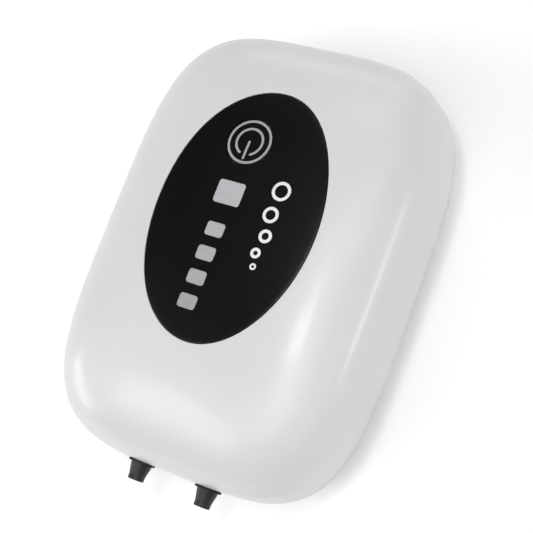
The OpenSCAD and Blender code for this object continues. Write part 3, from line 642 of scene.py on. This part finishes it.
def panel_cutter(points):
    return prism("panel_cut", points, BELT_Z, CREST_Z + 1 * MM)


def window_boxes():
    """Centre and half size of the large window and of the four small ones."""
    boxes = [(middle("status_window"), half_size("status_window"))]
    lo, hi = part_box("level_windows")
    pitch = (hi.y - lo.y - LEVEL_H) / (LEVEL_COUNT - 1)
    for k in reversed(range(LEVEL_COUNT)):
        centre = Vector(((lo.x + hi.x) / 2, lo.y + LEVEL_H / 2 + k * pitch, 0))
        boxes.append((centre, Vector(((hi.x - lo.x) / 2, LEVEL_H / 2, 0))))
    return boxes


def display_panel():
    edge = 0.22 * MM
    rings = []
    for k in range(1, 29):
        p = oval(grow=-edge, scale=k / 29)
        rings.append(ring(p, crown_z(p[:, 0], p[:, 1]) - PANEL_SINK))
    for a in ARC:
        p = oval(grow=-edge * (1 - math.sin(a)))
        rings.append(ring(p, crown_z(p[:, 0], p[:, 1]) - PANEL_SINK - edge * (1 - math.cos(a))))
    for scale in (1, 0.5, 0.02):
        p = oval(scale=scale)
        rings.append(ring(p, crown_z(p[:, 0], p[:, 1]) - PANEL_T))
    panel = loft("display_panel_skin", rings)
    tools = [panel_cutter(circle((KEY.x, KEY.y), KEY_R + KEY_GAP))]
    for centre, half in window_boxes():
        hole = rounded_rect(2 * half.x + WINDOW_GAP, 2 * half.y + WINDOW_GAP, WINDOW_CORNER)
        tools.append(panel_cutter(shifted(hole, centre)))
    carve(panel, tools)
    stands_for(panel, "display_panel", slot="display_black", material=BLACK)


def window_piece(name, centre, half):
    """One light window: a rounded block whose top follows the panel."""
    def grown(d):
        return shifted(rounded_rect(2 * (half.x + d), 2 * (half.y + d), WINDOW_CORNER + d), centre)

    top = float(crown_z(centre.x, centre.y)) - PANEL_SINK
    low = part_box("status_window")[0].z
    return prism(name, grown, low, top, edge=0.12 * MM)


def light_windows():
    boxes = window_boxes()
    large = window_piece("status_window_skin", *boxes[0])
    stands_for(large, "status_window", slot="window_grey", material=WINDOW)
    small = [window_piece("level_window", *b) for b in boxes[1:]]
    carve(small[0], small[1:], "UNION")
    small[0].name = "level_windows_skin"
    stands_for(small[0], "level_windows", slot="window_grey", material=WINDOW)


FLANGE_TOP, FLANGE_LOW = 1.9 * MM, 0.8 * MM


def power_key():
    """The key: a cap that follows the dome, a flange under the shell and a stem."""
    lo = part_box("power_key")[0]
    edge = 0.2 * MM
    flange_r, flange_top, flange_low = KEY.x - lo.x, lo.z + FLANGE_TOP, lo.z + FLANGE_LOW
    rings = []
    for k in range(1, 13):
        p = circle((KEY.x, KEY.y), (KEY_R - edge) * k / 13)
        rings.append(ring(p, crown_z(p[:, 0], p[:, 1]) - PANEL_SINK))
    for a in ARC:
        p = circle((KEY.x, KEY.y), KEY_R - edge * (1 - math.sin(a)))
        rings.append(ring(p, crown_z(p[:, 0], p[:, 1]) - PANEL_SINK - edge * (1 - math.cos(a))))
    for radius, z in ((KEY_R, flange_top), (flange_r, flange_top), (flange_r, flange_low),
                      (KEY_STEM_R, flange_low), (KEY_STEM_R, lo.z)):
        rings.append(ring(circle((KEY.x, KEY.y), radius), z))
    key = loft("power_key_skin", rings)
    stands_for(key, "power_key", slot="display_black", body="power_key_assembly", material=BLACK)


# A printed line's cross-section: part of its half width, and height over the panel in mm.
INK_SECTION = ((-1, -0.06), (-1, 0.0), (-0.8, 0.014), (0.8, 0.014), (1, 0.0), (1, -0.06))


def print_line(name, points, width, closed=False):
    """A line of ink along flat points, lying on the dome, with round ends."""
    points = np.asarray(points, float)
    if closed:
        ahead = np.roll(points, -1, axis=0) - np.roll(points, 1, axis=0)
    else:
        ahead = np.gradient(points, axis=0)
    ahead /= np.linalg.norm(ahead, axis=1)[:, None]
    side = np.column_stack([-ahead[:, 1], ahead[:, 0]])
    half = np.full(len(points), width / 2)
    if not closed:
        steps = np.linalg.norm(np.diff(points, axis=0), axis=1)
        run = np.concatenate([[0], np.cumsum(steps)])
        near = np.minimum(run, run[-1] - run)
        cap = np.clip(1 - near / (width / 2), 0, 1)
        half = width / 2 * np.sqrt(np.clip(1 - cap ** 2, 0.0004, 1))
    rings = []
    for across, height in INK_SECTION:
        p = points + side * (across * half)[:, None]
        rings.append(ring(p, crown_z(p[:, 0], p[:, 1]) - PANEL_SINK + height * MM))
    sections = np.stack(rings, axis=1)
    return loft(name, list(sections), looped=closed, sharp=50)


def arc_points(centre, radius, start, end, count):
    t = np.radians(np.linspace(start, end, count))
    return np.column_stack([centre[0] + radius * np.cos(t), centre[1] + radius * np.sin(t)])


def power_symbol():
    """Two rings, the inner one open towards the outlets, and a bar through the opening."""
    width = 0.62 * MM
    outer_r, inner_r, half_gap = 5.5 * MM, 3.46 * MM, 20
    bar_top, bar_low, bar_points = KEY.y + 0.3 * MM, KEY.y - 4.75 * MM, 40
    centre = (KEY.x, KEY.y)
    outer = print_line("key_ring_outer", circle(centre, outer_r, 120), width, closed=True)
    arc = arc_points(centre, inner_r, -90 + half_gap, 270 - half_gap, 96)
    inner = print_line("key_ring_inner", arc, width)
    line = np.column_stack([np.full(bar_points, KEY.x), np.linspace(bar_top, bar_low, bar_points)])
    bar = print_line("key_bar", line, width)
    for piece in (outer, inner, bar):
        stands_for(piece, slot="window_grey", body="power_key_assembly", material=INK_GREY)


# Each bubble's place along the case, its offset from the column and its radius, in mm.
BUBBLES = ((-5.0, 0.2, 0.6), (-1.7, -0.4, 0.95), (2.8, 0.4, 1.3), (8.1, -0.3, 1.65),
           (14.3, 0.1, 2.05))


def bubble_mark():
    """A plain printed column of rising bubbles on the display."""
    column = 9.8 * MM
    width = 0.8 * MM
    for k, (rise, aside, radius) in enumerate(BUBBLES, start=1):
        centre = (column + aside * MM, CASE_Y + rise * MM)
        line = min(width, 0.8 * radius * MM)
        piece = print_line("bubble_%d" % k, circle(centre, radius * MM, 64), line, closed=True)
        stands_for(piece, slot="window_grey", material=INK_WHITE)


# ---------------------------------------------------------------- outlets
def outlet(node, name):
    """A tapered nose with a bore, a flange inside the wall and a barb for the hose."""
    lo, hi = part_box(node)
    centre = middle(node)
    length = hi.y - lo.y
    surface = FRONT_LO.y - lo.y
    root_r, tip_r, bore_r, barb_r = 2.85 * MM, 2.1 * MM, 1.25 * MM, 1.6 * MM
    flange_r = (hi.x - lo.x) / 2
    flange_at = surface + WALL + 0.8 * MM
    profile = [(bore_r, 0, 0.2 * MM), (tip_r, 0, 0.28 * MM), (tip_r, 1.2 * MM, 0.6 * MM),
               (root_r, surface, 0.5 * MM), (root_r, flange_at, 0.2 * MM),
               (flange_r, flange_at, 0.2 * MM), (flange_r, flange_at + 1 * MM, 0.2 * MM),
               (barb_r, flange_at + 1 * MM, 0.2 * MM), (barb_r, length, 0.2 * MM),
               (bore_r, length, 0.1 * MM)]
    piece = lathe(name, profile, (centre.x, lo.y, centre.z), (0, 1, 0))
    stands_for(piece, node, slot="outlet_grey", material=CHARCOAL)


def outlet_grommets():
    """Rubber sleeves round the outlets, each with a rounded collar outside the wall; the collars'
    black is partly the rubber's own colour and partly painted shade at the outlet roots.
    """
    lo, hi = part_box("outlet_grommets")
    collar_r = (hi.z - lo.z) / 2
    bore_r = 2.88 * MM
    sleeve_r = OUTLET_HOLE_R - 0.05 * MM
    seat = FRONT_LO.y - lo.y
    profile = [(bore_r, 0, 0.15 * MM), (collar_r, 0, 0.2 * MM), (collar_r, seat, 0.1 * MM),
               (sleeve_r, seat, 0), (sleeve_r, hi.y - lo.y, 0.1 * MM),
               (bore_r, hi.y - lo.y, 0.1 * MM)]
    ring_piece = lathe("outlet_grommets_skin", profile, (0, 0, 0), (0, 1, 0))
    places = [(middle(node).x, lo.y, middle(node).z) for node in ("left_nozzle", "right_nozzle")]
    spread(ring_piece, places)
    # painted shade: the black collars also stand in for the shadowed gap round each outlet root
    stands_for(ring_piece, "outlet_grommets", slot="rubber_black", material=RUBBER)


# ---------------------------------------------------------------- diaphragms
# Thickness of the web and wall, width and thickness of the clamped rim, and the hub's stem.
WEB_T = 0.8 * MM
CLAMP_RIM_W = 1 * MM
CLAMP_RIM_T = 1.2 * MM
HUB_STEM_R = 1.2 * MM
WALL_ROWS = 6


def diaphragm(side, sign):
    """A rubber cup with its web on the hub and its rim clamped on the valve box."""
    lo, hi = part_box(side + "_diaphragm")
    boss_x, rim_x = sorted((abs(lo.x), abs(hi.x)))
    hub_half = half_size(side + "_hub")
    web_x = abs(middle(side + "_hub").x) + hub_half.x
    face_x, clamp_x = web_x - WEB_T, rim_x - CLAMP_RIM_T
    rim_r = (hi.y - lo.y) / 2
    wall_r = rim_r - CLAMP_RIM_W
    rows = [web_x + (clamp_x - web_x) * k / WALL_ROWS for k in range(1, WALL_ROWS)]
    inner_r = wall_r - WEB_T
    profile = [(HUB_STEM_R, boss_x, 0), (hub_half.y, boss_x, 0.2 * MM),
               (hub_half.y, face_x, 0.2 * MM), (wall_r, face_x, 0.3 * MM), (wall_r, web_x, 0)]
    profile += [(wall_r, x, 0) for x in rows]
    profile += [(wall_r, clamp_x, 0), (rim_r, clamp_x, 0.2 * MM), (rim_r, rim_x, 0),
                (inner_r, rim_x, 0), (inner_r, clamp_x, 0)]
    profile += [(inner_r, x, 0) for x in reversed(rows)]
    profile += [(inner_r, web_x, 0), (HUB_STEM_R, web_x, 0)]
    centre = middle(side + "_diaphragm")
    piece = lathe(side + "_membrane", profile, (0, centre.y, centre.z), (sign, 0, 0), count=64)
    piece.data.materials.append(RUBBER)
    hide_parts(side + "_diaphragm")
    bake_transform(piece)


# ---------------------------------------------------------------- rear shell
FOOT_LO, FOOT_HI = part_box("rubber_feet")
FOOT_R = 5 * MM
FOOT_X, FOOT_Y = FOOT_HI.x - FOOT_R, (FOOT_HI.y - FOOT_LO.y) / 2 - FOOT_R
FEET = [(x * FOOT_X, CASE_Y + y * FOOT_Y) for x in (-1, 1) for y in (-1, 1)]
SCREW_LO, SCREW_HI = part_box("case_screws")
SCREW_HEAD_R = 2.8 * MM
SCREWS = [(x * MM, CASE_Y + y * MM)
          for x, y in ((-25, -45.5), (25, -45.5), (-24.5, 45), (24.5, 45))]
SCREW_SEAT = SCREW_LO.z + 2 * MM
VENT = middle("filter_cover")
VENT_R = half_size("filter_cover").x
SEAM_STEP = 0.45 * MM
LIP_GAP, LIP_T, LIP_H = 0.12 * MM, 1 * MM, 1.6 * MM
BOSS_R, BOSS_LOW, BOSS_TOP = 6.5 * MM, 1.6 * MM, 6 * MM
VENT_HOLE_R, VENT_LEDGE, VENT_TOP = 7 * MM, BASE_Z + 1.1 * MM, 5 * MM
CUT_FROM = -1 * MM


def disc(name, radius, low, high, place, rounding=0.0):
    """An upright disc at (x, y) with its lower edge rounded."""
    profile = [(0, low, 0), (radius, low, rounding), (radius, high, 0), (0, high, 0)]
    return lathe(name, profile, (*place, 0), (0, 0, 1))


def rear_shell():
    """The dish with its lip, foot bosses, foot and screw recesses and air intake."""
    rings = []
    for scale in (0.02, 0.3, 0.52, 0.64, 0.75, 0.84, 0.91, 0.955):
        p = (outline(HALF_W - WALL, HALF_L - WALL) - [0, CASE_Y]) * scale + [0, CASE_Y]
        rings.append(ring(p, dish_z(p[:, 0], p[:, 1], WALL)))
    lip_in = WALL + LIP_GAP + LIP_T
    lip_out = WALL + LIP_GAP
    for inset, z in ((lip_in, SEAM_Z - 3 * MM), (lip_in, SEAM_Z + LIP_H), (lip_out, SEAM_Z + LIP_H),
                     (lip_out, SEAM_Z)):
        rings.append(ring(outline(HALF_W - inset, HALF_L - inset), z))
    for a in ARC:
        inset = SEAM_STEP + SEAM_ROUND * (1 - math.sin(a))
        rings.append(ring(outline(HALF_W - inset, HALF_L - inset),
                          SEAM_Z - SEAM_ROUND * (1 - math.cos(a))))
    rim = outline(HALF_W - SEAM_STEP, HALF_L - SEAM_STEP)
    count = 64
    for k in range(1, count):
        s = math.cos(k / count * math.pi / 2)
        p = (rim - [0, CASE_Y]) * s + [0, CASE_Y]
        z = dish_z(p[:, 0], p[:, 1])
        rings.append(ring(p, np.minimum(z, SEAM_Z - SEAM_ROUND)))
    shell = loft("rear_shell_skin", rings)
    bosses = [disc("foot_boss", BOSS_R, BOSS_LOW, BOSS_TOP, foot, 0.5 * MM) for foot in FEET]
    carve(shell, bosses, "UNION")
    tools = [disc("foot_cut", FOOT_R + 0.1 * MM, CUT_FROM, FOOT_HI.z, foot) for foot in FEET]
    tools += [disc("screw_cut", SCREW_HEAD_R + 0.3 * MM, CUT_FROM, SCREW_SEAT, screw)
              for screw in SCREWS]
    seat_r = VENT_R + 0.12 * MM
    vent = [(0, CUT_FROM, 0), (seat_r, CUT_FROM, 0), (seat_r, VENT_LEDGE, 0),
            (VENT_HOLE_R, VENT_LEDGE, 0), (VENT_HOLE_R, VENT_TOP, 0), (0, VENT_TOP, 0)]
    tools.append(lathe("vent_cut", vent, (VENT.x, VENT.y, 0), (0, 0, 1)))
    carve(shell, tools)
    stands_for(shell, "rear_shell", slot="rear_white", material=REAR)


def rubber_feet():
    """Four discs with a rounded edge, a hollow middle and a shallow ring in the tread."""
    groove, edge = 0.3 * MM, 0.1 * MM
    foot_r = FOOT_R - 0.02 * MM
    profile = [(0, groove, 0), (1.2 * MM, groove, edge), (1.5 * MM, 0, edge), (2.4 * MM, 0, edge),
               (2.7 * MM, groove, edge), (3.3 * MM, groove, edge), (3.6 * MM, 0, edge),
               (foot_r, 0, 0.5 * MM), (foot_r, FOOT_HI.z, edge), (0, FOOT_HI.z, 0)]
    foot = lathe("rubber_feet_skin", profile, (0, 0, 0), (0, 0, 1))
    spread(foot, [(x, y, 0) for x, y in FEET])
    stands_for(foot, "rubber_feet", slot="rubber_black", material=RUBBER)


def case_screws():
    """Pan heads with a cross recess, deep in their bores."""
    head, shank_r = SCREW_LO.z, 1.4 * MM
    blade_l, blade_w, blade_depth = 3 * MM, 0.65 * MM, 1.1 * MM
    profile = [(0, head, 0), (SCREW_HEAD_R, head, 0.7 * MM), (SCREW_HEAD_R, SCREW_SEAT, 0.1 * MM),
               (shank_r, SCREW_SEAT, 0), (shank_r, SCREW_HI.z, 0.3 * MM), (0, SCREW_HI.z, 0)]
    screw = lathe("case_screws_skin", profile, (0, 0, 0), (0, 0, 1))
    tools = []
    for turn in (0, 90):
        blade = prism("blade", rounded_rect(blade_l, blade_w, 0.2 * MM), head - 1 * MM,
                      head + blade_depth)
        blade.data.transform(Matrix.Rotation(math.radians(turn), 4, "Z"))
        tools.append(blade)
    carve(screw, tools)
    spread(screw, [(x, y, 0) for x, y in SCREWS])
    stands_for(screw, "case_screws", slot="screw_steel", material=STEEL)


def filter_cover():
    """A slotted round cover in the base."""
    lo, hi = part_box("filter_cover")
    slot_w, slot_corner, slot_pitch, slotted_r = 1.2 * MM, 0.59 * MM, 2.4 * MM, 6 * MM
    profile = [(0, lo.z, 0), (VENT_R, lo.z, 0.25 * MM), (VENT_R, hi.z, 0.1 * MM), (0, hi.z, 0)]
    cover = lathe("filter_cover_skin", profile, (VENT.x, VENT.y, 0), (0, 0, 1))
    tools = []
    for k in (-2, -1, 0, 1, 2):
        offset = slot_pitch * k
        length = 2 * math.sqrt(slotted_r ** 2 - offset ** 2)
        bar = shifted(rounded_rect(length, slot_w, slot_corner), (VENT.x, VENT.y + offset))
        tools.append(prism("slot_cut", bar, lo.z - 1 * MM, hi.z + 1 * MM))
    carve(cover, tools)
    stands_for(cover, "filter_cover", slot="rear_white", material=REAR)


def dust_plug():
    """The port's soft plug: a rounded cap with a finger notch and a hollow tongue."""
    lo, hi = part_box("dust_plug")
    cap_back = FRONT_HI.y - CAP_DEPTH + 0.05 * MM
    cap = prism("dust_plug_skin", slot_shape(CAP_HALF.x, CAP_HALF.z), cap_back, hi.y,
                edge=0.4 * MM, low_edge=0.1 * MM)
    usb = half_size("usb_shell")
    tongue = prism("plug_tongue", slot_shape(usb.x - 0.5 * MM, usb.z - 0.5 * MM), lo.y,
                   cap_back + 0.3 * MM, low_edge=0.3 * MM)
    carve(cap, [tongue], "UNION")
    pocket = prism("plug_pocket", slot_shape(3.6 * MM, 0.65 * MM), lo.y - 1 * MM,
                   cap_back + 1.1 * MM)
    notch_r, notch_half, notch_round = 1.8 * MM, 2.6 * MM, 0.8 * MM
    profile = [(0, -notch_half, 0), (notch_r, -notch_half, notch_round),
               (notch_r, notch_half, notch_round), (0, notch_half, 0)]
    notch = lathe("plug_notch", profile, (0, 0, 0), (1, 0, 0))
    notch.data.transform(Matrix.Translation((0, FRONT_HI.y + 0.9 * MM, PORT_MID.z + CAP_HALF.z)))
    for piece in (cap, pocket):
        along_y(piece, 0, PORT_MID.z)
    carve(cap, [pocket, notch])
    stands_for(cap, "dust_plug", slot="silicone_grey", body="dust_plug", material=SILICONE)


# ---------------------------------------------------------------- camera, lights and stage
CAMERA_AZIMUTH, CAMERA_ELEVATION, CAMERA_ROLL = 71.67, 61.74, -52.6
CAMERA_DISTANCE = 0.3221
CAMERA_LENS = 85.88
CAMERA_SHIFT = (0.018, -0.0097)
AIM = Vector((0, CASE_Y, BELT_Z))


def direction(azimuth, elevation):
    """From the pump towards a place; azimuth 0 is in front of the outlets, 90 on the right."""
    a, e = math.radians(azimuth), math.radians(elevation)
    return Vector((math.sin(a) * math.cos(e), -math.cos(a) * math.cos(e), math.sin(e)))


def camera():
    data = bpy.data.cameras.new("camera")
    data.lens = CAMERA_LENS
    data.sensor_width = 36
    data.shift_x, data.shift_y = CAMERA_SHIFT
    data.clip_start = 0.01
    data.clip_end = 20
    cam = bpy.data.objects.new("camera", data)
    bpy.context.scene.collection.objects.link(cam)
    back = direction(CAMERA_AZIMUTH, CAMERA_ELEVATION)
    roll = Matrix.Rotation(math.radians(CAMERA_ROLL), 3, "Z")
    turn = back.to_track_quat("Z", "Y").to_matrix() @ roll
    cam.matrix_world = Matrix.Translation(AIM + back * CAMERA_DISTANCE) @ turn.to_4x4()
    bpy.context.scene.camera = cam


# name, azimuth and elevation seen from the pump, width, height, watts
SOFTBOXES = (
    ("key", 60, 70, 0.25, 0.25, 0.64),
    ("overhead", 107, 82, 0.09, 0.09, 0.57),
    ("back", 5, 65, 0.3, 0.25, 0.55),
    ("front_right", 72, 40, 0.4, 0.2, 0.35),
    ("right_high", 125, 62, 0.25, 0.2, 0.2),
    ("right_strip", 98, 14, 0.2, 0.06, 0.47),
    ("rear", 182, 45, 0.35, 0.2, 0.34),
    ("left", 326, 45, 0.25, 0.2, 0.62),
    ("left_middle", 288, 45, 0.25, 0.25, 0.12),
    ("rear_left_high", 224, 66, 0.2, 0.2, 0.03),
    ("left_spot", 312, 50, 0.1, 0.1, 0.15),
    ("left_low", 300, 15, 0.3, 0.15, 0.8),
    ("rear_left_low", 240, 15, 0.6, 0.2, 0.2),
    ("rear_low", 190, 15, 0.5, 0.2, 0.62),
)
LIGHT_DISTANCE = 0.6
FLOOR_SIZE = 6
FLOOR_GLOW, FAR_GLOW, GLOW_FROM, GLOW_TO = 0.14, 0.95, 0.35, 0.65
BACKDROP_R, BACKDROP_H, BACKDROP_SIDES = 5, 4, 64
WORLD_COLOUR, WORLD_STRENGTH = (0.98, 0.99, 1.0, 1), 0.08


def softbox(name, azimuth, elevation, width, height, power):
    data = bpy.data.lights.new(name, "AREA")
    data.shape = "RECTANGLE"
    data.size, data.size_y = width, height
    data.energy = power
    light = bpy.data.objects.new(name, data)
    bpy.context.scene.collection.objects.link(light)
    back = direction(azimuth, elevation)
    place = Matrix.Translation(AIM + back * LIGHT_DISTANCE)
    light.matrix_world = place @ back.to_track_quat("Z", "Y").to_matrix().to_4x4()
    light.visible_camera = False


def floor():
    """A pale paper floor that glows more away from the pump, so it stays white far out."""
    corners = [(x * FLOOR_SIZE, y * FLOOR_SIZE, 0) for x, y in ((-1, -1), (1, -1), (1, 1), (-1, 1))]
    mesh = bpy.data.meshes.new("floor")
    mesh.from_pydata(corners, [], [(0, 1, 2, 3)])
    mat, tree, shader, place = new_material("floor_paper", Emission_Color=(1, 1, 1, 1))
    grain = noise(tree, place, 40)
    tree.links.new(mix_colour(tree, grain, (0.94, 0.94, 0.945), (0.96, 0.96, 0.965)),
                   shader.inputs["Base Color"])
    tree.links.new(spread_value(tree, grain, 0.7, 0.9), shader.inputs["Roughness"])
    distance = tree.nodes.new("ShaderNodeVectorMath")
    distance.operation = "LENGTH"
    tree.links.new(place, distance.inputs[0])
    glow = spread_value(tree, distance.outputs["Value"], FLOOR_GLOW, FAR_GLOW, GLOW_FROM, GLOW_TO)
    tree.links.new(glow, shader.inputs["Emission Strength"])
    mesh.materials.append(mat)
    add_piece("floor", mesh)


def backdrop():
    """A white round wall behind everything, seen by the camera but by no other ray."""
    foot = circle((0, 0), BACKDROP_R, BACKDROP_SIDES)
    corners = [(i, (i + 1) % BACKDROP_SIDES) for i in range(BACKDROP_SIDES)]
    mesh = bpy.data.meshes.new("backdrop")
    mesh.from_pydata(np.vstack([ring(foot, 0), ring(foot, BACKDROP_H)]).tolist(), [],
                     [(a, b, b + BACKDROP_SIDES, a + BACKDROP_SIDES) for a, b in corners])
    mat = new_material("backdrop_paper", Base_Color=(0, 0, 0, 1), Emission_Color=(1, 1, 1, 1),
                       Emission_Strength=1.0)[0]
    mesh.materials.append(mat)
    wall = add_piece("backdrop", mesh)
    for ray in ("diffuse", "glossy", "transmission", "volume_scatter", "shadow"):
        setattr(wall, "visible_" + ray, False)


def studio():
    world = bpy.data.worlds.new("studio")
    world.use_nodes = True
    background = world.node_tree.nodes["Background"]
    background.inputs["Color"].default_value = WORLD_COLOUR
    background.inputs["Strength"].default_value = WORLD_STRENGTH
    bpy.context.scene.world = world
    bpy.context.scene.view_settings.view_transform = "Standard"
    for box in SOFTBOXES:
        softbox(*box)
    floor()
    backdrop()


camera()
studio()
dress_cad_nodes()
front_shell()
display_panel()
light_windows()
power_key()
power_symbol()
bubble_mark()
outlet("left_nozzle", "left_outlet_skin")
outlet("right_nozzle", "right_outlet_skin")
outlet_grommets()
diaphragm("left", -1)
diaphragm("right", 1)
rear_shell()
rubber_feet()
case_screws()
filter_cover()
dust_plug()
